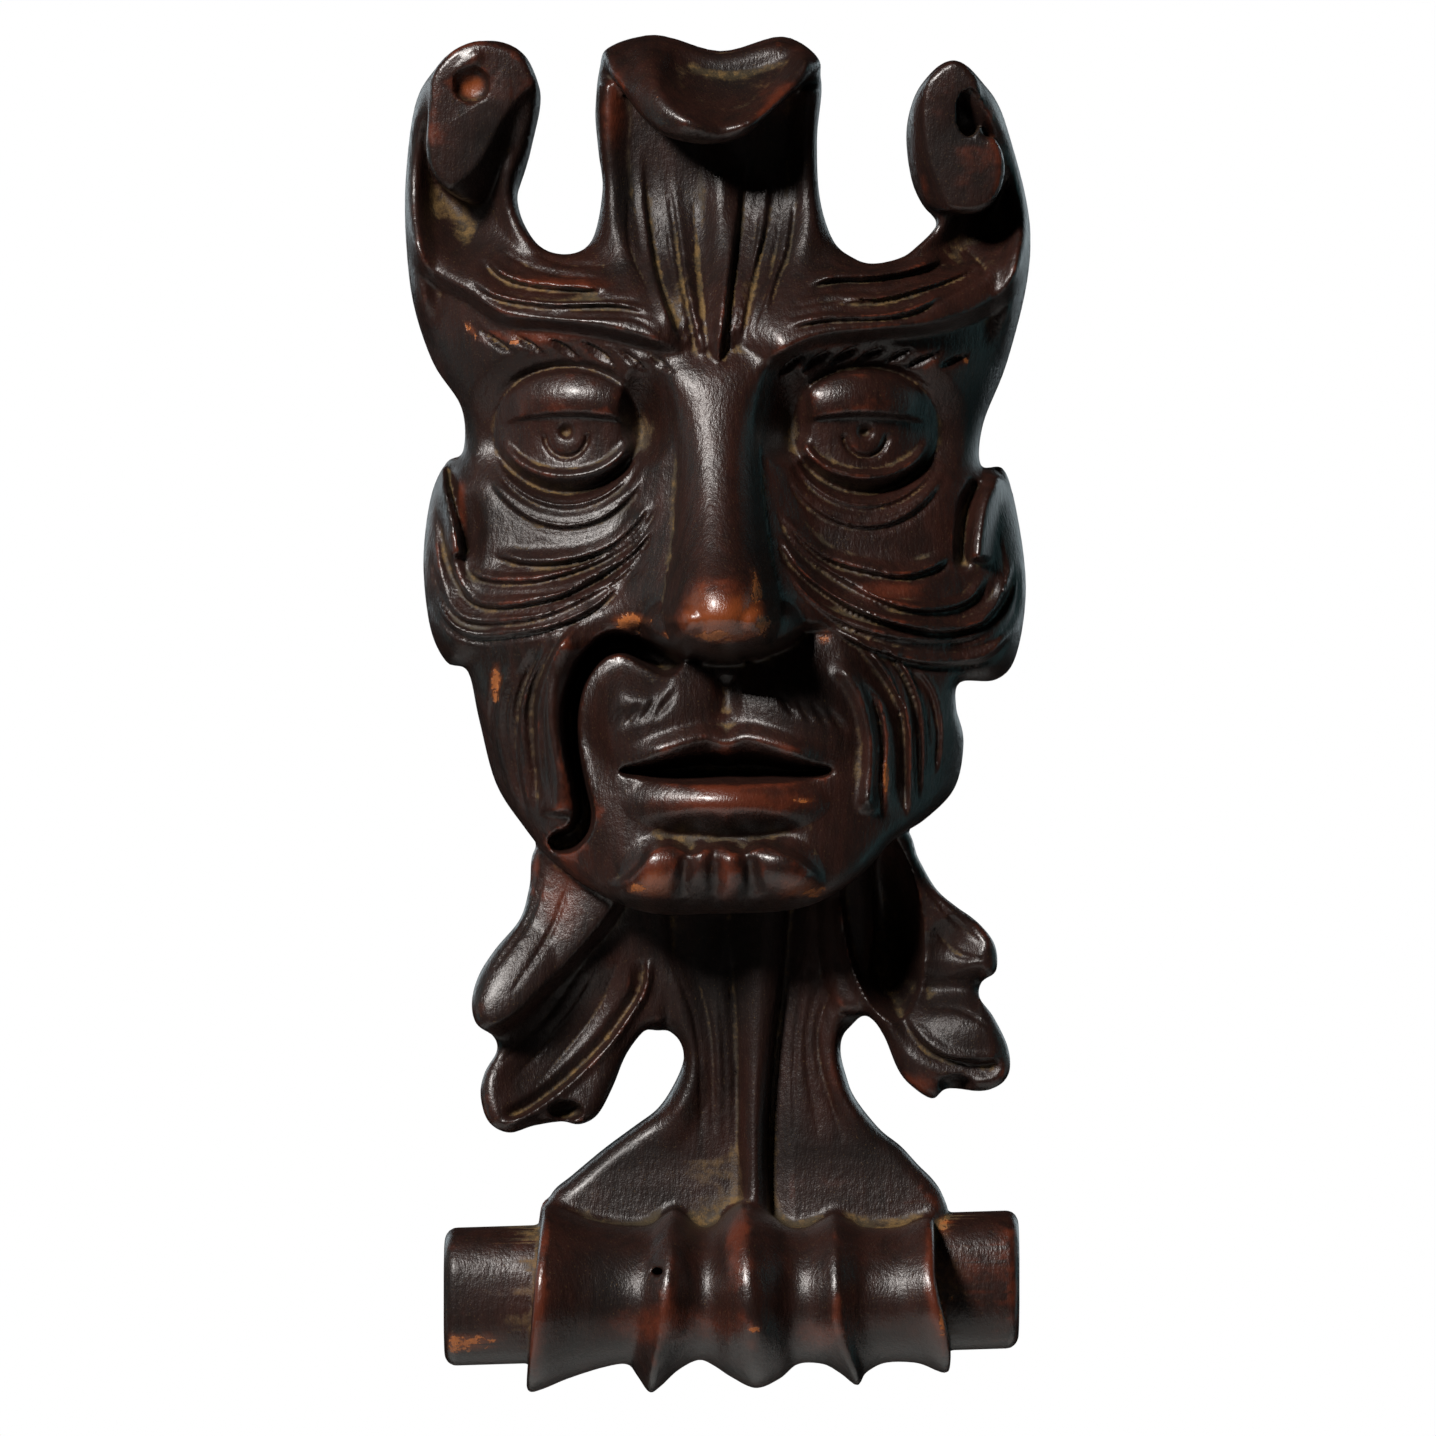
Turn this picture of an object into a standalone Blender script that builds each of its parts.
"""Green man: a leaf mask carved from one block of dark wood, made to hang on a wall.

The carver's own measure is a hundredth of the height across and up, and a share of the
nose's reach from the wall outwards. X runs to the viewer's right, Z up from the foot and
D out from the wall. Each form of the carving has a front, a back and an outline, and the
forms are fused into one body.
"""

import math

import bmesh
import bpy
import numpy as np
import openvdb

# Driving dimensions, in metres
CARVING_HEIGHT = 0.320
NOSE_REACH = 0.098
CURL_REACH = 0.075
SCROLL_REACH = 0.060
NECK_THICKNESS = 0.034
ROLL_REACH = 0.063
BAR_DIAMETER = 0.0325
BAR_LENGTH = 0.1355
LEAF_THICKNESS = 0.013

# How finely the solid is cut
CARVING_STEP = 0.00125
FACE_BUDGET = 9400

# The carver's measures
UNIT = CARVING_HEIGHT / 100
NOSE_TIP = 30.6
DEPTH_UNIT = NOSE_REACH / NOSE_TIP
MOUNT_LEVEL = 62.0
BLOCK_LEFT, BLOCK_RIGHT = -24.0, 24.5
BLOCK_FOOT, BLOCK_TOP = -1.5, 102.0
BLOCK_BACK, BLOCK_FRONT = -1.5, 33.0
FAR = 4.0

# Real sizes in the carver's depths
CURL_FRONT = CURL_REACH / DEPTH_UNIT
SCROLL_FRONT = SCROLL_REACH / DEPTH_UNIT
NECK_FRONT = NECK_THICKNESS / DEPTH_UNIT
ROLL_FRONT = ROLL_REACH / DEPTH_UNIT
LEAF_THICK = LEAF_THICKNESS / DEPTH_UNIT


def clear_scene():
    for thing in list(bpy.data.objects):
        bpy.data.objects.remove(thing, do_unlink=True)


# The board: every place on the wall where a depth is worked out

STEP = CARVING_STEP / UNIT
ACROSS = np.arange(BLOCK_LEFT, BLOCK_RIGHT, STEP)
UP = np.arange(BLOCK_FOOT, BLOCK_TOP, STEP)
OUT = np.arange(BLOCK_BACK, BLOCK_FRONT, CARVING_STEP / DEPTH_UNIT) + 0.37 * CARVING_STEP / DEPTH_UNIT
X, Z = np.meshgrid(ACROSS, UP, indexing="ij")
LEAN = 0.028 * (73.4 - Z)
U = X - LEAN


def ease(low, high, value):
    """0 below low, 1 above high, and a soft step between."""
    t = np.clip((value - low) / (high - low), 0.0, 1.0)
    return t * t * (3.0 - 2.0 * t)


def through(points, closed=False, cuts=6):
    """A smooth line through a few points."""
    p = np.array(points, float)
    if closed:
        p = np.vstack([p[-1:], p, p[:2]])
    else:
        p = np.vstack([2 * p[:1] - p[1:2], p, 2 * p[-1:] - p[-2:-1]])
    t = np.linspace(0.0, 1.0, cuts, endpoint=False)[:, None]
    spans = []
    for a, b, c, d in zip(p[:-3], p[1:-2], p[2:-1], p[3:]):
        spans.append(0.5 * (2 * b + (c - a) * t + (2 * a - 5 * b + 4 * c - d) * t**2
                            + (3 * b - a - 3 * c + d) * t**3))
    spans.append(p[-2:-1] if not closed else p[1:2])
    return np.vstack(spans)


def along(pairs, where):
    """Value of a smooth profile, given as (place, value) pairs, at every place."""
    line = through(sorted(pairs), cuts=18)
    return np.interp(where, line[:, 0], line[:, 1])


def window(low, high, margin):
    """The part of the board around a stretch of line."""
    i0 = max(0, int((low[0] - margin - BLOCK_LEFT) / STEP))
    i1 = min(len(ACROSS), int((high[0] + margin - BLOCK_LEFT) / STEP) + 2)
    j0 = max(0, int((low[1] - margin - BLOCK_FOOT) / STEP))
    j1 = min(len(UP), int((high[1] + margin - BLOCK_FOOT) / STEP) + 2)
    return slice(i0, i1), slice(j0, j1)


def nearest(line, reach):
    """Distance to a line, share of its length, and side (over 0 on its left)."""
    distance = np.full(X.shape, reach)
    share = np.zeros(X.shape)
    side = np.zeros(X.shape)
    lengths = np.hypot(*np.diff(line, axis=0).T)
    run = np.concatenate([[0.0], np.cumsum(lengths)]) / max(lengths.sum(), 1e-9)
    for n, (a, b) in enumerate(zip(line[:-1], line[1:])):
        if lengths[n] < 1e-6:
            continue
        box = window(np.minimum(a, b), np.maximum(a, b), reach)
        x, z = X[box] - a[0], Z[box] - a[1]
        dx, dz = (b - a) / lengths[n]
        t = np.clip(x * dx + z * dz, 0.0, lengths[n])
        gap = np.hypot(x - t * dx, z - t * dz)
        closer = gap < distance[box]
        distance[box] = np.where(closer, gap, distance[box])
        share[box] = np.where(closer, run[n] + (run[n + 1] - run[n]) * t / lengths[n], share[box])
        side[box] = np.where(closer, dx * z - dz * x, side[box])
    return distance, share, side


def inset(points, reach=8.0, cuts=6):
    """Distance in from a closed outline: under 0 outside it."""
    line = through(points, closed=True, cuts=cuts)
    distance, _, _ = nearest(line, reach)
    inside = np.zeros(X.shape, bool)
    for a, b in zip(line[:-1], line[1:]):
        if a[1] == b[1]:
            continue
        j0, j1 = np.searchsorted(UP, sorted((a[1], b[1])))
        z = UP[j0:j1]
        cross = a[0] + (b[0] - a[0]) * (z - a[1]) / (b[1] - a[1])
        inside[:, j0:j1] ^= ACROSS[:, None] < cross[None, :]
    return np.where(inside, distance, -distance)


def taper(share, start, end):
    """Full in the middle of a cut, dying out over its first and last shares."""
    rise = ease(0.0, max(start, 1e-3), share) if start else 1.0
    fall = ease(0.0, max(end, 1e-3), 1.0 - share) if end else 1.0
    return rise * fall


def ridge(points, width, height, start=0.25, end=0.25):
    """A rounded rib along a line, half as wide as its stated width on either side."""
    distance, share, _ = nearest(through(points), 1.6 * width)
    return height * (1.0 - ease(0.0, 1.6 * width, distance)) * taper(share, start, end)


def groove(points, width, depth, start=0.3, end=0.3):
    """A gouge cut along a line."""
    return -ridge(points, width, depth, start, end)


def shelf(points, rise, drop, fade, start=0.15, end=0.15):
    """The edge of an upper surface: raised on the line's left, sheer on its right."""
    distance, share, side = nearest(through(points), 2.5 * fade)
    signed = np.where(side > 0, distance, -distance)
    lift = ease(-drop, drop, signed) * (1.0 - ease(0.0, 2.4 * fade, signed))
    return rise * lift * taper(share, start, end)


def fold(points, rise, width, start=0.2, end=0.2):
    """Where one layer of leaf lies over the next: raised on the line's left, cut in on its right."""
    distance, share, side = nearest(through(points), width)
    signed = np.where(side > 0, distance, -distance)
    upper = rise * (1.0 - ease(0.0, width, distance))
    lower = -0.7 * rise * (1.0 - ease(0.0, 0.75 * width, distance))
    return (lower + (upper - lower) * ease(-0.25, 0.2, signed)) * taper(share, start, end)


def mound(x, z, rx, rz, height, power=2.0, turn=0.0):
    """A soft swelling, or a hollow where the height is under 0."""
    c, s = math.cos(math.radians(turn)), math.sin(math.radians(turn))
    a, b = (X - x) * c + (Z - z) * s, (Z - z) * c - (X - x) * s
    r = np.clip((a / rx) ** 2 + (b / rz) ** 2, 0.0, 1.0)
    return height * (1.0 - r) ** power


def arc(x, z, rx, rz, first, last, count=7):
    """Points on an ellipse between two angles in degrees."""
    angles = np.radians(np.linspace(first, last, count))
    return [(x + rx * math.cos(a), z + rz * math.sin(a)) for a in angles]


# The body: forms are fused into it one after another

BODY = np.full((len(ACROSS), len(OUT), len(UP)), FAR, np.float32)


def fuse(solid, box, blend):
    """Join a form to the body with a carved fillet about as wide as the blend."""
    body = BODY[box[0], :, box[1]]
    mix = np.clip(0.5 + 0.5 * (body - solid) / blend, 0.0, 1.0)
    BODY[box[0], :, box[1]] = body + (solid - body) * mix - blend * mix * (1.0 - mix)


def add_form(front, back, edge, roundness, blend):
    """Fuse a form given by its front and back depths and its distance in from the outline."""
    places = np.argwhere(edge > -2.0)
    (i0, j0), (i1, j1) = places.min(axis=0), places.max(axis=0) + 1
    box = slice(i0, i1), slice(j0, j1)
    near = 1.0 - np.clip(edge / roundness, 0.0, 1.0)
    front = front - roundness * (1.0 - np.sqrt(1.0 - near**2))
    f, b, e = front[box][:, None, :], back[box][:, None, :], edge[box][:, None, :]
    d = OUT[None, :, None]
    fuse(np.maximum(np.maximum(d - f, b - d), -e).clip(-FAR, FAR).astype(np.float32), box, blend)


def head():
    """Crown, horns, face and the leaves of brow, cheek and muzzle, down to the chin."""
    outline = [
        (-9.1, 84.9), (-8.3, 88.6), (-8.6, 91.5), (-8.8, 94.9), (-8.0, 98.6), (-4.5, 99.6),
        (0.3, 98.6), (4.9, 99.5), (7.6, 97.2), (7.4, 92.4), (7.6, 88.1), (8.6, 84.9),
        (10.1, 83.6), (11.5, 83.2), (13.4, 83.6), (14.6, 84.4), (16.2, 86.2), (15.4, 87.6),
        (14.5, 89.5), (14.2, 93.4), (15.6, 96.8), (17.4, 97.9), (19.4, 96.5), (21.0, 94.1),
        (22.8, 88.1), (23.0, 82.9), (21.5, 76.3), (19.7, 71.7), (19.5, 68.6), (21.2, 68.4),
        (22.1, 65.5), (22.8, 59.6), (22.1, 54.6), (20.6, 52.8), (17.9, 52.6), (17.6, 50.8),
        (18.2, 48.3), (17.6, 44.9), (15.4, 42.6), (12.9, 41.0), (10.2, 38.2), (6.1, 36.1),
        (-0.3, 35.7), (-5.1, 35.8), (-9.1, 37.5), (-12.2, 39.8), (-14.1, 42.0), (-16.2, 45.2),
        (-17.4, 49.9), (-18.2, 53.4), (-19.8, 54.1), (-21.0, 56.7), (-21.5, 61.5), (-21.0, 66.2),
        (-19.9, 68.8), (-18.6, 69.6), (-18.7, 72.8), (-20.9, 76.3), (-22.4, 81.4), (-22.8, 88.4),
        (-22.0, 94.8), (-20.2, 97.5), (-16.8, 99.3), (-14.2, 98.5), (-13.0, 95.6), (-13.7, 91.8),
        (-14.6, 88.1), (-13.2, 84.8), (-11.0, 83.9),
    ]
    edge = inset(outline)
    spine = along([(34, 17.0), (38, 20.4), (44, 20.6), (50, 20.4), (56, 19.4), (64, 18.8), (70, 19.0),
                   (75, 20.2), (80, 19.4), (84, 17.0), (88, 15.4), (93, 15.6), (101, 16.4)], Z)
    breadth = along([(34, 13.4), (42, 16.6), (48, 18.8), (54, 22.0), (60, 24.0), (66, 22.2), (70, 20.0),
                     (78, 22.4), (86, 26.0), (101, 27.0)], Z)
    side = 8.6
    share = np.clip(np.abs(U) / breadth, 0.0, 1.0)
    plain = side + (spine - side) * (1.0 - share**2.5) ** 0.58
    front = plain + brow_leaves() + crown_veins() + horn_channels()
    front = front + eyes() + cheeks() + muzzle_leaves() + chin_tufts()
    front = mouth(nose(front))
    undercut = along([(34, 8.0), (44, 6.0), (60, 5.0), (80, 5.0), (101, 4.0)], Z)
    back = (plain - LEAF_THICK) * (1.0 - np.clip(edge / undercut, 0.0, 1.0)) ** 1.25
    add_form(front, np.maximum(back, lean_off()), edge, 1.3, 0.5)


def lean_off():
    """How far crown and horns lean off the wall as they rise."""
    return along([(30, 0.0), (78, 0.0), (84, 0.4), (90, 2.8), (95, 5.6), (98, 7.9), (101, 11.4)], Z)


def brow_leaves():
    """Two leaves that sweep from the horns to the bridge, with an edge over each eye."""
    left = [(-23.4, 92.0), (-23.2, 88.0), (-22.4, 84.6), (-20.8, 82.2), (-17.9, 80.6), (-15.4, 79.0),
            (-12.0, 78.6),
            (-7.6, 77.9), (-3.6, 76.6), (-2.2, 75.0)]
    right = [(2.6, 74.4), (4.6, 76.0), (7.4, 77.3), (11.5, 77.9), (15.3, 78.3), (19.2, 79.5),
             (21.8, 81.6),
             (23.2, 85.0), (23.6, 90.0)]
    leaves = shelf(left, 2.4, 0.6, 3.0, 0.3, 0.12) + shelf(right, 2.4, 0.6, 3.0, 0.12, 0.3)
    leaves += fold([(-4.6, 79.4), (-8.0, 79.9), (-12.0, 79.8), (-16.0, 80.6), (-18.4, 82.2)], -0.6, 0.9)
    leaves += fold([(-7.6, 81.0), (-10.5, 81.2), (-13.5, 81.5), (-15.6, 82.2), (-17.2, 83.8)], -0.9,
                   1.2)
    leaves += fold([(4.8, 78.2), (8.0, 78.9), (12.0, 79.1), (14.4, 79.6), (17.0, 81.0)], 0.6, 0.9)
    leaves += fold([(6.4, 81.2), (8.4, 81.9), (11.0, 82.0), (14.0, 82.5), (17.2, 83.6)], 0.9, 1.2)
    leaves += fold([(8.0, 80.2), (11.6, 80.3), (14.2, 80.9), (17.6, 82.2), (19.8, 83.4)], 0.6, 0.8)
    return leaves


def crown_veins():
    """The tall leaf's veins, which meet above the bridge of the nose."""
    veins = ridge([(0.3, 94.0), (0.5, 87.0), (0.4, 81.0), (0.0, 74.4)], 1.1, 1.2, 0.4, 0.15)
    veins += fold([(0.4, 73.2), (0.4, 76.4), (0.8, 80.0), (1.3, 84.0), (1.8, 88.0), (2.2, 93.0)], 0.7,
                  1.0, 0.15, 0.55)
    veins += fold([(-5.4, 92.6), (-5.2, 88.6), (-4.8, 85.0), (-4.3, 82.3), (-3.6, 80.0), (-2.3, 76.6)],
                  -0.8, 1.4,
                  0.6, 0.2)
    veins += fold([(-3.6, 92.0), (-3.2, 88.6), (-2.7, 85.0), (-2.3, 82.0), (-1.5, 78.0), (-0.9, 74.4)],
                  0.55, 0.9,
                  0.6, 0.15)
    veins += fold([(1.7, 76.8), (2.2, 80.0), (2.9, 83.2), (3.6, 86.0), (4.2, 91.0)], 0.55, 1.0, 0.2,
                  0.5)
    veins += fold([(3.6, 79.0), (4.3, 81.8), (5.2, 84.4), (5.9, 90.0)], 0.45, 0.9, 0.2, 0.5)
    veins += ridge([(-7.9, 97.0), (-8.0, 91.0), (-7.5, 86.5), (-6.3, 82.8), (-5.0, 79.8)], 1.2, 1.2,
                   0.05, 0.4)
    veins += ridge([(6.9, 96.5), (6.8, 91.0), (6.9, 86.6), (6.0, 82.6), (4.9, 80.4)], 1.1, 1.0, 0.05,
                   0.4)
    return veins


def horn_channels():
    """Each horn is a leaf rolled at the tip, with a rim outside and a channel within."""
    left = ridge([(-21.4, 77.0), (-21.9, 84.0), (-22.0, 90.0), (-20.8, 95.4), (-17.6, 98.2)], 1.0, 1.6,
                 0.2, 0.0)
    left += groove([(-15.0, 83.4), (-18.0, 85.2), (-19.6, 88.2), (-20.4, 91.4), (-20.2, 94.6)], 2.0,
                   2.0, 0.35, 0.2)
    left += ridge([(-11.6, 84.0), (-14.0, 85.4), (-15.3, 88.4), (-14.6, 92.0)], 0.9, 1.0)
    right = ridge([(20.6, 75.5), (22.1, 83.0), (22.0, 88.0), (20.3, 93.4), (18.0, 96.8)], 1.0, 1.6,
                  0.2, 0.0)
    right += groove([(14.0, 82.6), (18.0, 84.2), (20.4, 87.0), (20.9, 90.6), (19.8, 94.0)], 1.9, 2.2,
                    0.35, 0.2)
    right += ridge([(10.6, 83.8), (14.0, 84.6), (16.6, 86.6), (15.4, 90.0)], 0.9, 1.0)
    tips = along([(80, 0.0), (86, 0.0), (90, 1.2), (94, 2.8), (98, 3.4), (103, 3.4)], Z)
    return left + right + tips * ease(11.5, 13.5, np.abs(X))


def eyes():
    """Calm, even eyes under heavy lids, with leaf-like folds below each."""
    level, spread = 71.0, 10.9
    cut = np.zeros(X.shape)
    for hand in (-1, 1):
        x = hand * spread
        cut += mound(x, level + 0.4, 7.8, 6.2, -3.2, 1.3)
        cut += mound(hand * 4.9, level + 1.2, 2.2, 4.0, -2.2, 1.2)
        cut += mound(x, level, 5.4, 4.6, 3.0, 0.85)
        cut += mound(x, level + 2.6, 4.8, 2.2, 0.35, 1.2)
        cut += shelf(arc(x, level + 0.1, 4.9, 1.0, 175, 5), 0.8, 0.2, 1.9, 0.2, 0.2)
        cut += groove(arc(x, level + 1.0, 5.3, 3.6, 165, 15), 0.35, 0.6, 0.25, 0.25)
        cut += ridge(arc(x, level + 0.2, 4.9, 3.6, 188, 352), 0.42, 0.85, 0.15, 0.15)
        cut += groove(arc(x, level + 0.1, 5.2, 4.6, 192, 348), 0.4, 0.8, 0.2, 0.2)
        for rx, rz, rise in ((5.8, 5.8, 0.4), (6.5, 7.3, 0.45)):
            cut += fold(arc(x, level + 0.2, rx, rz, 196, 344), rise, 1.1, 0.25, 0.25)
        cut += groove(arc(x, level - 0.2, 1.6, 1.8, 178, 362, 9), 0.22, 0.45, 0.1, 0.1)
        cut += mound(x, level - 0.1, 0.75, 0.75, -0.8)
    return cut


def cheeks():
    """Folds that run down the cheeks and out over the flaring cheek leaves."""
    folds = [
        ([(-16.4, 62.0), (-14.0, 61.3), (-11.0, 61.4), (-8.0, 62.2), (-6.0, 63.8), (-4.6, 65.8)], 0.65,
         1.2),
        ([(-18.4, 61.6), (-17.2, 60.2), (-14.0, 59.9), (-11.0, 60.5), (-8.0, 61.6), (-5.6, 63.4),
          (-4.1, 66.0)], 0.55, 0.9),
        ([(-20.1, 66.0), (-19.5, 62.0), (-18.2, 58.9), (-16.0, 58.1), (-12.0, 58.7), (-9.0, 60.0),
          (-6.0, 62.0),
          (-4.0, 64.6)], 0.7, 1.0),
        ([(-20.8, 63.8), (-20.2, 60.0), (-18.9, 57.5), (-16.6, 56.9), (-13.0, 57.3), (-10.0, 58.4),
          (-7.0, 60.2),
          (-4.6, 62.8)], 0.5, 0.7),
        ([(-20.9, 60.0), (-19.6, 57.0), (-17.6, 55.9), (-15.0, 56.0), (-12.0, 56.6), (-9.0, 57.9),
          (-6.4, 60.0)], 0.6, 0.9),
        ([(5.0, 64.6), (6.2, 63.0), (8.0, 61.6), (10.4, 60.8), (13.4, 60.3), (15.6, 60.8),
          (17.4, 61.8)], 0.65, 1.2),
        ([(4.3, 65.6), (5.8, 62.6), (8.0, 60.7), (10.4, 59.3), (13.2, 58.1), (16.0, 57.8),
          (18.6, 58.6), (20.2, 60.8)],
         0.6, 0.9),
        ([(4.3, 63.6), (5.6, 61.2), (7.6, 59.4), (10.2, 57.8), (13.4, 56.7), (16.6, 56.3),
          (19.4, 56.9), (21.1, 58.8),
          (21.9, 61.8)], 1.0, 1.1),
        ([(4.8, 61.2), (6.6, 58.7), (9.0, 57.0), (12.0, 56.0), (15.4, 55.6), (18.4, 55.8),
          (20.6, 56.8)], 0.5, 0.7),
        ([(8.4, 56.4), (11.2, 55.0), (14.2, 54.1), (17.4, 54.0), (20.0, 54.5), (21.8, 56.4)], 0.6, 0.9),
    ]
    cut = np.zeros(X.shape)
    for line, rise, width in folds:
        cut += fold(line, rise, width, 0.12, 0.12)
    cut += fold([(-18.5, 61.6), (-19.0, 64.2), (-19.7, 67.0), (-19.9, 68.6)], 1.5, 1.4, 0.1, 0.05)
    cut += mound(-17.9, 63.6, 1.3, 3.6, -0.9)
    cut += ridge([(20.9, 67.9), (19.9, 65.8), (19.4, 63.4), (19.2, 61.2)], 0.75, 1.7, 0.05, 0.1)
    cut += groove([(19.3, 67.6), (18.3, 65.4), (18.0, 62.6), (18.1, 60.4)], 0.5, 1.5, 0.1, 0.2)
    cut += mound(-12.5, 57.8, 7.0, 5.0, 1.4) + mound(12.9, 57.4, 7.5, 5.0, 1.4)
    cut += mound(-19.6, 56.2, 3.4, 3.2, 1.2) + mound(20.4, 55.6, 3.4, 3.4, 1.2)
    return cut


def nose(front):
    """A straight nose on the centre line, with a round tip and plain wings."""
    line = along([(52.6, 17.0), (53.6, 19.4), (54.4, 24.0), (55.4, 28.4), (56.6, 30.2),
                  (57.6, NOSE_TIP), (59.4, 29.9),
                  (62.0, 27.6), (66.0, 25.0), (71.0, 23.0), (75.0, 21.8), (79.0, 19.0)], Z)
    half = along([(52, 2.6), (54, 3.6), (57, 4.5), (59.4, 4.4), (63, 3.7), (70, 3.3), (75, 4.2),
                  (80, 5.6)], Z)
    foot = 53.5 + 0.07 * np.clip(np.abs(U), 0.0, 6.0) ** 2
    here = ease(foot, foot + 1.1, Z) * (1.0 - ease(75.0, 79.5, Z))
    rise = np.maximum(line - front, 0.0) * here
    share = np.abs(U) / half
    body = (1.0 - np.clip(share, 0.0, 1.0) ** 2.3) ** 0.62
    flank = (1.0 - np.clip(share / 2.1, 0.0, 1.0) ** 2) ** 2
    front = front + rise * np.maximum(body, 0.5 * flank)
    for hand in (-1, 1):
        front = front + mound(0.45 + hand * 3.7, 56.6, 2.3, 2.0, 1.8, 1.2)
        front = front + groove(arc(0.45 + hand * 3.6, 56.5, 2.4, 2.4, 90 - hand * 20, 90 - hand * 120),
                               0.5, 0.3)
        front = front + mound(0.45 + hand * 1.8, 54.4, 0.9, 0.55, -1.6)
    return front


def mouth(front):
    """Lips a little apart, level and even, with a short moustache cut above them."""
    middle = 0.75
    for hand in (-1, 1):
        front = front + mound(middle + hand * 5.6, 51.2, 5.4, 5.4, 1.3, 1.3)
        for n in range(4):
            x = middle + hand * (3.6 + 1.15 * n)
            stroke = [(x, 52.2 - 0.35 * n), (x + hand * 0.8, 51.0 - 0.35 * n),
                      (x + hand * 1.9, 49.7 - 0.35 * n)]
            front = front + groove(stroke, 0.32, 0.38, 0.45, 0.45)
    front = front + groove([(middle, 53.4), (middle, 51.4), (middle, 49.6)], 0.8, 0.7, 0.3, 0.3)
    bow = [(-7.6, 46.5), (-4.4, 47.7), (-1.6, 48.5), (0.0, 48.2), (1.6, 48.5), (4.4, 47.7), (7.6, 46.5)]
    front = front + ridge([(x + middle, z) for x, z in bow], 0.9, 1.2, 0.2, 0.2)
    front = front + mound(middle, 43.8, 7.6, 2.5, 1.9, 1.0) + mound(middle, 44.0, 3.8, 1.9, 0.4)
    front = front + groove([(x * 0.86 + middle, z - 6.8 + 0.03 * x * x) for x, z in bow], 1.1, 0.9,
                           0.3, 0.3)
    gap = [(-7.6, 46.1), (-4.4, 46.9), (-1.4, 47.3), (0.0, 47.1), (1.4, 47.3), (4.4, 46.9), (7.6, 46.1),
           (4.4, 45.5), (0.0, 45.3), (-4.4, 45.5)]
    opening = inset([(x + middle, z) for x, z in gap], 3.0)
    return front - 4.2 * ease(-0.3, 0.7, opening)


def muzzle_leaves():
    """Leaves that hang from the cheeks on both sides of the mouth, free along the left one."""
    gap = [(-2.6, 54.0), (-4.2, 55.1), (-6.0, 55.9), (-7.9, 56.1), (-9.4, 55.0), (-10.4, 53.4),
           (-11.1, 51.0), (-11.0, 47.8),
           (-10.4, 45.0), (-10.2, 43.2), (-10.7, 42.0), (-11.7, 41.5), (-12.1, 41.0), (-11.7, 40.3),
           (-10.4, 40.4),
           (-9.3, 41.6), (-9.0, 43.2), (-9.5, 45.2), (-10.1, 48.2), (-10.1, 50.6), (-9.5, 52.8),
           (-8.3, 54.3),
           (-6.8, 54.7), (-5.2, 53.9), (-3.6, 53.2)]
    cut = -4.8 * ease(-0.25, 0.4, inset(gap, 2.0))
    cut += groove([(-3.0, 52.8), (-5.0, 53.4), (-6.8, 54.0), (-8.5, 53.1), (-9.3, 51.4), (-9.5, 48.8),
                   (-8.9, 45.4),
                   (-8.4, 42.8)], 1.6, 1.4, 0.1, 0.4)
    cut += ridge([(-9.6, 56.6), (-11.6, 54.0), (-12.1, 50.2), (-11.5, 46.2), (-11.6, 42.6)], 1.1, 1.5,
                 0.15, 0.05)
    cut += fold([(-12.6, 42.2), (-12.9, 45.0), (-13.2, 48.6), (-12.9, 52.0), (-11.4, 55.4),
                 (-9.6, 57.2)], -0.7, 0.9)
    cut += fold([(-13.5, 42.6), (-14.2, 45.4), (-14.5, 49.0), (-14.0, 52.0), (-12.6, 55.2)], -0.7, 0.9)
    cut += fold([(-15.4, 45.0), (-16.2, 48.4), (-15.9, 51.6), (-15.2, 54.2)], -0.6, 0.9)
    cut += ridge([(8.4, 54.4), (10.3, 52.2), (11.2, 49.6), (11.4, 46.6), (11.0, 42.8)], 0.7, 1.3, 0.15,
                 0.1)
    cut += fold([(12.2, 42.4), (12.1, 45.4), (12.2, 48.2), (11.7, 51.0), (10.2, 53.4)], -0.7, 1.2,
                0.25, 0.3)
    cut += fold([(13.9, 42.2), (14.0, 45.6), (13.9, 49.0), (13.1, 51.6), (11.4, 54.2), (9.2, 56.2)],
                -0.9, 1.3, 0.2, 0.25)
    cut += fold([(14.8, 43.2), (15.0, 47.0), (14.8, 50.6), (13.6, 53.6), (11.6, 55.6)], -0.5, 0.7)
    cut += fold([(16.0, 45.4), (16.4, 48.6), (15.8, 51.8), (14.2, 54.0)], -0.5, 0.8)
    return cut


def chin_tufts():
    """Leaf tufts that fall in folds from one wavy edge under the lower lip."""
    crest = [(8.2, 37.6), (6.9, 39.2), (5.2, 40.3), (3.4, 40.9), (1.8, 40.3), (0.6, 40.8),
             (-0.8, 40.6), (-1.8, 40.3),
             (-3.2, 40.9), (-4.6, 40.5), (-5.6, 39.2), (-6.8, 38.2), (-8.2, 38.0)]
    chin = shelf(crest, 1.2, 0.35, 2.2, 0.1, 0.1)
    chin += mound(-4.2, 38.6, 2.8, 2.9, 1.2, 1.1, 20) + mound(4.8, 38.6, 3.2, 2.9, 1.4, 1.1, -18)
    chin += mound(1.0, 38.4, 1.4, 2.9, 0.9, 1.0) + mound(-1.1, 38.5, 1.2, 2.7, 0.6, 1.0)
    for x, sway, deep in ((-2.1, -0.6, 0.6), (0.0, 0.2, 0.35), (2.4, 0.6, 0.6)):
        chin += groove([(x, 40.4), (x + 0.3 * sway, 38.8), (x + sway, 36.8)], 0.6, deep, 0.4, 0.25)
    return chin


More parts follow.
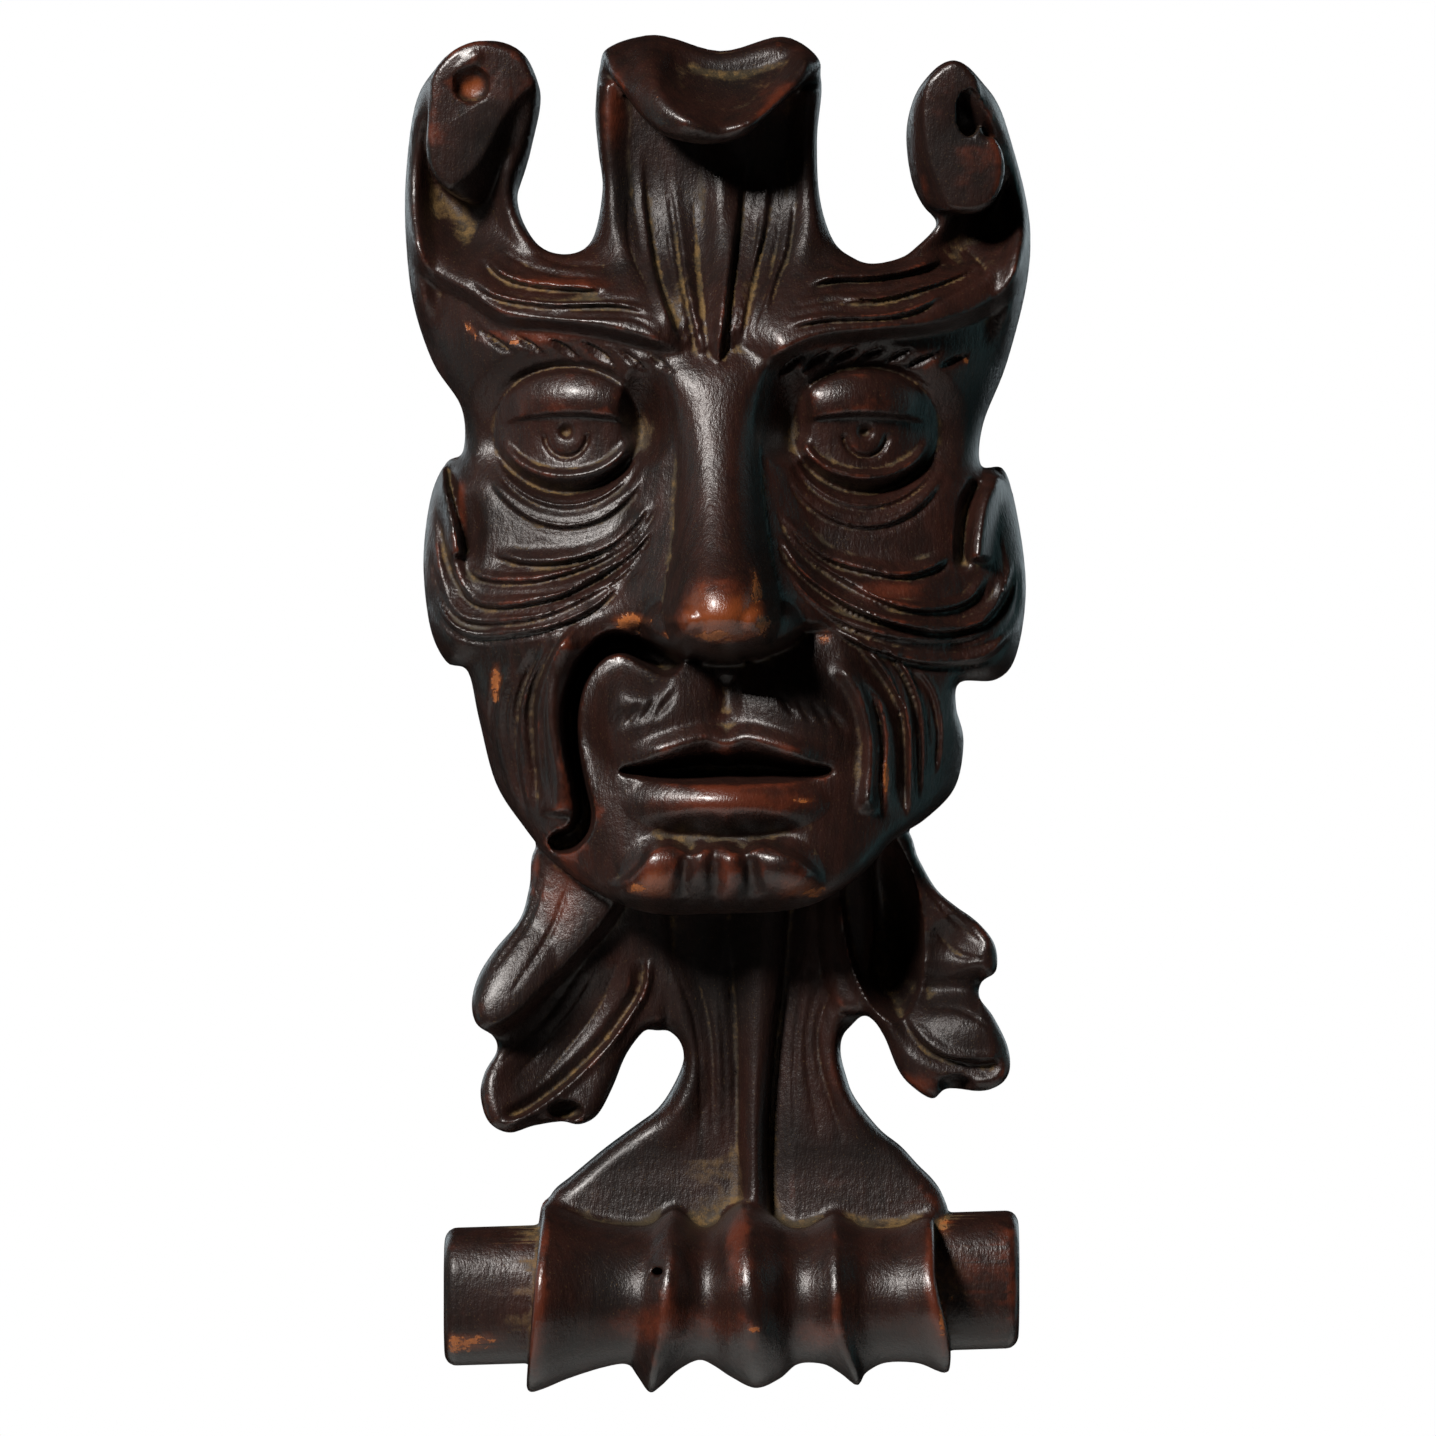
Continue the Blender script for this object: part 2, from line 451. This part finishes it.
def crown_curl():
    """The tall leaf's tip, rolled forward and down over its own face."""
    outline = [(-8.0, 98.9), (-4.5, 100.1), (0.3, 98.9), (4.9, 100.0), (7.6, 98.0), (6.4, 96.4),
               (4.8, 94.8),
               (3.2, 93.2), (1.8, 92.1), (0.0, 91.7), (-2.0, 91.8), (-4.0, 92.5), (-5.5, 93.9),
               (-6.7, 95.6),
               (-7.8, 97.2)]
    edge = inset(outline)
    down = np.clip((100.0 - Z) / 8.2, 0.0, 1.0)
    front = CURL_FRONT - 9.0 * (1.0 - down) ** 1.5
    front += mound(1.2, 97.0, 5.4, 4.2, -2.8, 1.1, 12)
    front += ridge([(-5.0, 99.6), (-4.7, 97.0), (-3.7, 94.9), (-1.8, 93.3), (0.8, 92.9)], 1.3, 1.3,
                   0.1, 0.3)
    front += ridge([(0.4, 92.8), (2.6, 93.4), (4.4, 95.0), (6.0, 97.0), (6.8, 98.6)], 0.8, 1.0, 0.3,
                   0.1)
    back = 7.0 + (front - LEAF_THICK * (1.35 - 0.5 * down) - 7.0) * ease(0.12, 0.5, down)
    add_form(front, np.maximum(back, lean_off()), edge, 1.5, 0.6)


def scroll(face, crest, eye, eye_size, eye_depth, hand):
    """A horn's rolled tip: the scroll's end looks forward, and its outside falls back."""
    edge = inset(face)
    distance, _, side = nearest(through(crest), 10.0)
    outside = np.where(side * hand < 0, distance, 0.0)
    front = SCROLL_FRONT - 1.5 * outside**1.2 + 0.10 * (Z - 93.0)
    front += mound(eye[0], eye[1], eye_size[0], eye_size[1], -eye_depth, 0.35)
    foot = min(z for _, z in face)
    back = SCROLL_FRONT - 1.8 * LEAF_THICK - 5.0 * ease(foot + 2.0, foot + 9.0, Z)
    add_form(front, back, edge, 0.6, 0.5)


def hanging_leaves():
    """Two lobed leaves that spring from behind the jaw and stand off the wall at their tips."""
    left = [(-10.0, 42.5), (-13.2, 40.5), (-13.7, 37.6), (-14.4, 35.2), (-16.2, 33.0), (-17.4, 31.1),
            (-17.9, 29.2), (-17.6, 27.6), (-16.4, 26.6), (-16.1, 25.5), (-17.0, 23.9), (-17.3, 22.2),
            (-16.7, 20.3), (-15.2, 19.5), (-13.4, 20.0), (-11.4, 20.3), (-10.0, 20.1), (-8.7, 20.8),
            (-7.6, 22.8), (-6.6, 25.2), (-5.2, 27.0), (-3.5, 28.0), (-3.0, 33.0), (-4.5, 40.0)]
    edge = inset(left)
    front = along([(18, 12.6), (24, 11.4), (30, 11.0), (36, 11.6), (43, 13.0)], Z) - 0.10 * (X + 10.0)
    front += shelf([(-18.2, 26.2), (-16.2, 27.0), (-14.4, 28.1), (-12.6, 29.8), (-10.8, 31.6),
                    (-9.0, 33.6),
                    (-7.2, 36.0), (-5.8, 39.0), (-5.0, 42.0)], 2.4, 0.6, 3.2, 0.0, 0.1)
    front += mound(-15.4, 30.6, 3.4, 4.6, 0.9, 1.0, -30)
    front += mound(-11.4, 26.4, 3.6, 7.0, -1.5, 1.4, -38)
    front += fold([(-16.0, 20.4), (-14.2, 20.9), (-12.2, 22.2), (-10.4, 23.7), (-8.2, 25.9),
                   (-6.5, 28.2), (-5.4, 30.2),
                   (-5.1, 32.6)], -1.1, 1.2, 0.1, 0.1)
    front += ridge([(-7.4, 33.4), (-9.8, 30.4), (-11.6, 28.0), (-14.2, 25.2)], 1.1, 0.6, 0.3, 0.4)
    front += mound(-11.0, 21.1, 1.3, 0.8, -1.8, 0.8)
    hang_leaf(front, edge)
    right = [(8.5, 42.5), (13.6, 42.0), (14.9, 39.6), (16.2, 37.4), (17.8, 36.0), (19.3, 34.9),
             (20.5, 33.3), (20.6, 31.4), (19.6, 30.6), (19.4, 29.4), (20.4, 28.0), (21.5, 25.6),
             (21.4, 23.6), (19.8, 22.6), (17.0, 22.7), (15.9, 22.0), (14.4, 22.9), (13.4, 24.1),
             (12.4, 26.5), (11.2, 28.0), (8.8, 28.6), (7.4, 34.0)]
    edge = inset(right)
    front = along([(20, 12.6), (24, 11.8), (30, 11.2), (36, 11.6), (43, 13.0)], Z) + 0.12 * (X - 12.0)
    front += mound(12.3, 35.0, 2.9, 7.4, -5.4, 0.8, 8)
    front += mound(17.4, 33.4, 3.0, 2.0, -0.9, 1.2, 35)
    front += groove([(13.8, 29.4), (16.4, 30.2), (19.6, 29.9)], 1.4, 1.3, 0.35, 0.05)
    front += mound(17.6, 26.6, 4.8, 3.2, 1.1, 1.2, 12)
    front += fold([(21.0, 24.9), (18.8, 24.7), (16.6, 25.2), (14.8, 26.6), (13.4, 29.0)], -0.7, 1.5,
                  0.1, 0.4)
    front += ridge([(9.4, 37.0), (9.8, 33.8), (10.8, 30.8), (12.4, 28.2), (13.6, 25.2)], 0.8, 0.8, 0.1,
                   0.2)
    front += mound(17.6, 23.1, 1.3, 0.7, -1.8, 0.8)
    hang_leaf(front, edge)


def hang_leaf(front, edge):
    tip = 1.0 - ease(21.0, 37.0, Z)
    back = np.clip((front - LEAF_THICK) * tip - 0.9 * np.clip(edge, 0.0, 4.0), 0.0, None)
    add_form(front, back, edge, 1.2, 0.8)


def neck():
    """The stem of the carving, from under the chin to the roll, with a rib down it."""
    outline = [(-7.0, 45.0), (-8.2, 37.0), (-6.8, 31.0), (-5.0, 27.4), (-3.5, 26.9), (-2.6, 26.0),
               (-2.4, 24.6),
               (-3.1, 22.8), (-4.3, 21.0), (-6.0, 19.7), (-8.3, 18.0), (-10.7, 16.0), (-12.1, 14.8),
               (-12.8, 13.0), (-12.9, 9.0), (-6.0, 5.5), (8.0, 5.5), (17.0, 9.0), (17.2, 12.9),
               (16.8, 14.6),
               (16.1, 15.7), (15.0, 16.8), (13.7, 18.2), (12.1, 19.5), (10.3, 21.8), (9.6, 23.6),
               (9.2, 25.3), (9.4, 26.6), (10.4, 27.9), (11.4, 31.0), (11.6, 38.0), (9.5, 45.0)]
    edge = inset(outline)
    front = NECK_FRONT * along([(5, 0.97), (13, 0.92), (18, 0.885), (26, 0.90), (34, 0.97),
                                (45, 1.05)], Z)
    middle = along([(12, 2.7), (16, 2.7), (20, 2.65), (26, 2.7), (32, 2.9), (40, 3.2)], Z)
    half = along([(12, 1.3), (16, 1.0), (20, 1.1), (26, 1.5), (32, 1.9), (40, 2.4)], Z)
    share = np.clip(np.abs(X - middle) / half, 0.0, 1.0)
    front = front + 1.2 * (1.0 - share**2) ** 1.3 * ease(12.0, 15.0, Z)
    shade = [(4.0, 12.0), (3.75, 17.0), (3.8, 21.0), (4.2, 26.0), (4.8, 31.0), (5.5, 40.0)]
    front = front + fold(shade, 0.85, 2.8, 0.05, 0.05)
    front += ridge([(0.6, 36.0), (0.3, 30.0), (0.4, 24.0), (0.9, 18.0)], 0.8, 0.5, 0.2, 0.4)
    front += ridge([(-4.4, 34.0), (-2.4, 28.0), (-1.8, 23.0), (-4.2, 18.0)], 1.0, 0.7)
    front += ridge([(10.0, 33.0), (8.7, 27.0), (9.2, 22.6), (12.4, 18.0)], 0.8, 0.6)
    back = 2.4 * (1.0 - np.clip(edge / 2.5, 0.0, 1.0))
    add_form(front, back, edge, 1.3, 0.7)


def foot_roll():
    """The roll that the carving ends in, turned up over the bar, with folds around it like pleats."""
    middle, centre = 7.4, 0.54 * ROLL_FRONT
    up = np.clip(Z / 12.0, 0.0, 1.2)
    turns = [(-14.0, 1.2 * up), (-4.9, 1.6 * up), (3.0, -0.8 * up), (10.4, -1.8 * ease(0.5, 7.0, Z)),
             (17.2, -1.2 * ease(3.0, 10.0, Z))]
    slide = turns[0][1] + 0.0 * X
    for (a, first), (b, last) in zip(turns[:-1], turns[1:]):
        slide += (last - first) * ease(a, b, X)
    swell = along([(-14.3, 7.3), (-12.6, 6.7), (-11.0, 6.0), (-8.6, 5.2), (-6.9, 4.9), (-6.0, 5.8),
                   (-4.95, 7.0),
                   (-4.2, 6.6), (-3.0, 5.4), (-1.4, 4.5), (-0.2, 5.0), (1.2, 5.9), (3.0, 6.7),
                   (4.8, 6.0),
                   (6.3, 4.9), (8.2, 4.9), (9.3, 5.6), (10.4, 6.5), (11.2, 5.6), (12.8, 4.8),
                   (14.8, 4.8),
                   (16.2, 5.4), (17.6, 6.0)], X - slide)
    soft = along([(-14.3, 7.0), (-12.4, 6.3), (-10.6, 5.6), (-8.4, 5.2), (-6.6, 5.3), (-5.5, 6.0),
                  (-4.6, 6.4),
                  (-3.6, 6.1), (-2.4, 5.4), (-1.2, 5.1), (0.0, 5.4), (1.4, 6.4), (3.0, 7.0),
                  (4.6, 6.3), (6.2, 5.2),
                  (7.8, 5.1), (9.2, 5.6), (10.4, 6.1), (11.6, 5.6), (12.8, 5.1), (14.8, 5.1),
                  (16.2, 5.6),
                  (17.6, 6.2)], X - slide)
    swell += (soft - swell) * ease(1.5, 5.5, Z)
    ends = np.minimum(X + 14.0 - 1.1 * up, 17.2 - 1.2 * ease(3.0, 10.0, Z) - X)
    places = np.argwhere((ends > -1.5) & (Z < 18.0))
    (i0, j0), (i1, j1) = places.min(axis=0), places.max(axis=0) + 1
    box = slice(i0, i1), slice(j0, j1)
    stretch = (ROLL_FRONT - centre) / 7.0
    d = OUT[None, :, None]
    out = np.where(d > centre, (d - centre) / stretch, (d - centre) / 2.5)
    radius = np.hypot((Z[box] - middle)[:, None, :], out)
    around, beyond = radius - swell[box][:, None, :], -ends[box][:, None, :]
    rim = np.clip(1.0 - np.abs(around - beyond) / 0.8, 0.0, 1.0)
    solid = np.maximum(np.maximum(around, beyond) + 0.2 * rim**2, -d)
    fuse(solid.clip(-FAR, FAR).astype(np.float32), box, 0.9)


def cross_bar():
    """The bar that the roll lies over: only its two ends show."""
    half_length = 0.5 * BAR_LENGTH / UNIT
    middle_x, tilt = 1.15, 0.031
    radius = 0.5 * BAR_DIAMETER / UNIT
    deep = 0.5 * BAR_DIAMETER / DEPTH_UNIT
    box = window((middle_x - half_length, 0.0), (middle_x + half_length, 15.0), 2.0)
    x, z = X[box], Z[box]
    rise = 7.85 + tilt * (x - middle_x)
    d = OUT[None, :, None] - 1.35 * deep
    squareness = 2.6
    ring = (np.abs((z - rise)[:, None, :] / radius) ** squareness + np.abs(d / deep) ** squareness)
    ring = radius * (ring ** (1.0 / squareness) - 1.0)
    end = (np.abs(x - middle_x) - half_length)[:, None, :] + 0.0 * d
    corner = 0.9
    rounded = np.hypot(np.maximum(ring + corner, 0.0), np.maximum(end + corner, 0.0)) - corner
    solid = np.maximum(rounded, np.minimum(np.maximum(ring, end), 0.0))
    fuse(solid.clip(-FAR, FAR).astype(np.float32), box, 0.25)


def carve():
    neck()
    hanging_leaves()
    head()
    crown_curl()
    left_face = [(-16.9, 99.3), (-14.4, 98.5), (-13.3, 96.8), (-13.0, 95.4), (-13.6, 92.4),
                 (-14.3, 89.6),
                 (-15.3, 88.2), (-17.4, 87.6), (-19.4, 88.4), (-20.7, 89.8), (-21.1, 91.6),
                 (-21.0, 93.6),
                 (-20.9, 95.2), (-20.8, 96.4), (-20.2, 97.6), (-18.8, 98.8)]
    scroll(left_face, [(-12.6, 96.8), (-14.4, 95.3), (-15.8, 93.4), (-16.8, 91.4), (-17.8, 90.0),
                       (-20.2, 88.0)],
           (-17.8, 96.1), (1.35, 1.35), 1.2, -1)
    right_face = [(17.4, 97.9), (15.6, 96.8), (14.5, 95.3), (14.1, 93.2), (14.3, 90.7), (14.7, 89.0),
                  (15.6, 87.4),
                  (17.6, 86.9), (19.3, 87.0), (20.4, 87.9), (21.0, 89.5), (20.9, 91.1), (20.3, 92.2),
                  (19.5, 92.5),
                  (19.3, 93.6), (19.3, 95.0), (19.0, 96.6)]
    scroll(right_face, [(15.8, 97.4), (15.3, 95.0), (15.3, 92.6), (15.8, 90.2), (17.2, 87.0)],
           (18.45, 94.1), (0.95, 1.7), 5.0, 1)
    foot_roll()
    cross_bar()


def body_mesh(name):
    """Turn the fused body into one closed mesh, flat where it lies on the wall."""
    grid = openvdb.FloatGrid(FAR)
    grid.copyFromArray(np.ascontiguousarray(BODY))
    points, triangles, quads = grid.convertToPolygons(0.0, 0.0)
    x = (points[:, 0] * STEP + BLOCK_LEFT) * UNIT
    d = np.maximum(points[:, 1] * (OUT[1] - OUT[0]) + OUT[0], 0.0)
    flat = 0.15
    d = np.where(d < flat, 0.0, d) * DEPTH_UNIT
    z = (points[:, 2] * STEP + BLOCK_FOOT - MOUNT_LEVEL) * UNIT
    mesh = bpy.data.meshes.new(name)
    mesh.from_pydata(np.column_stack([x, -d, z]).tolist(), [], np.asarray(quads).tolist())
    mesh.validate()
    work = bmesh.new()
    work.from_mesh(mesh)
    bmesh.ops.recalc_face_normals(work, faces=work.faces)
    if work.calc_volume(signed=True) < 0.0:
        bmesh.ops.reverse_faces(work, faces=work.faces)
    bmesh.ops.triangulate(work, faces=work.faces)
    count = len(work.faces)
    work.to_mesh(mesh)
    work.free()
    return mesh, count


def dark_wood():
    material = bpy.data.materials.new("dark_wood")
    material.use_nodes = True
    shader = material.node_tree.nodes["Principled BSDF"]
    shader.inputs["Base Color"].default_value = (0.032, 0.017, 0.013, 1.0)
    shader.inputs["Roughness"].default_value = 0.38
    shader.inputs["Metallic"].default_value = 0.0
    material.diffuse_color = (0.10, 0.06, 0.05, 1.0)
    return material


def build():
    clear_scene()
    carve()
    mesh, count = body_mesh("green_man")
    carving = bpy.data.objects.new("green_man", mesh)
    shelf_of_parts = bpy.data.collections.new("green_man_carving")
    bpy.context.scene.collection.children.link(shelf_of_parts)
    shelf_of_parts.objects.link(carving)
    mesh.materials.append(dark_wood())
    thin = carving.modifiers.new("fewer_faces", "DECIMATE")
    thin.ratio = min(1.0, FACE_BUDGET / count)
    return carving


build()
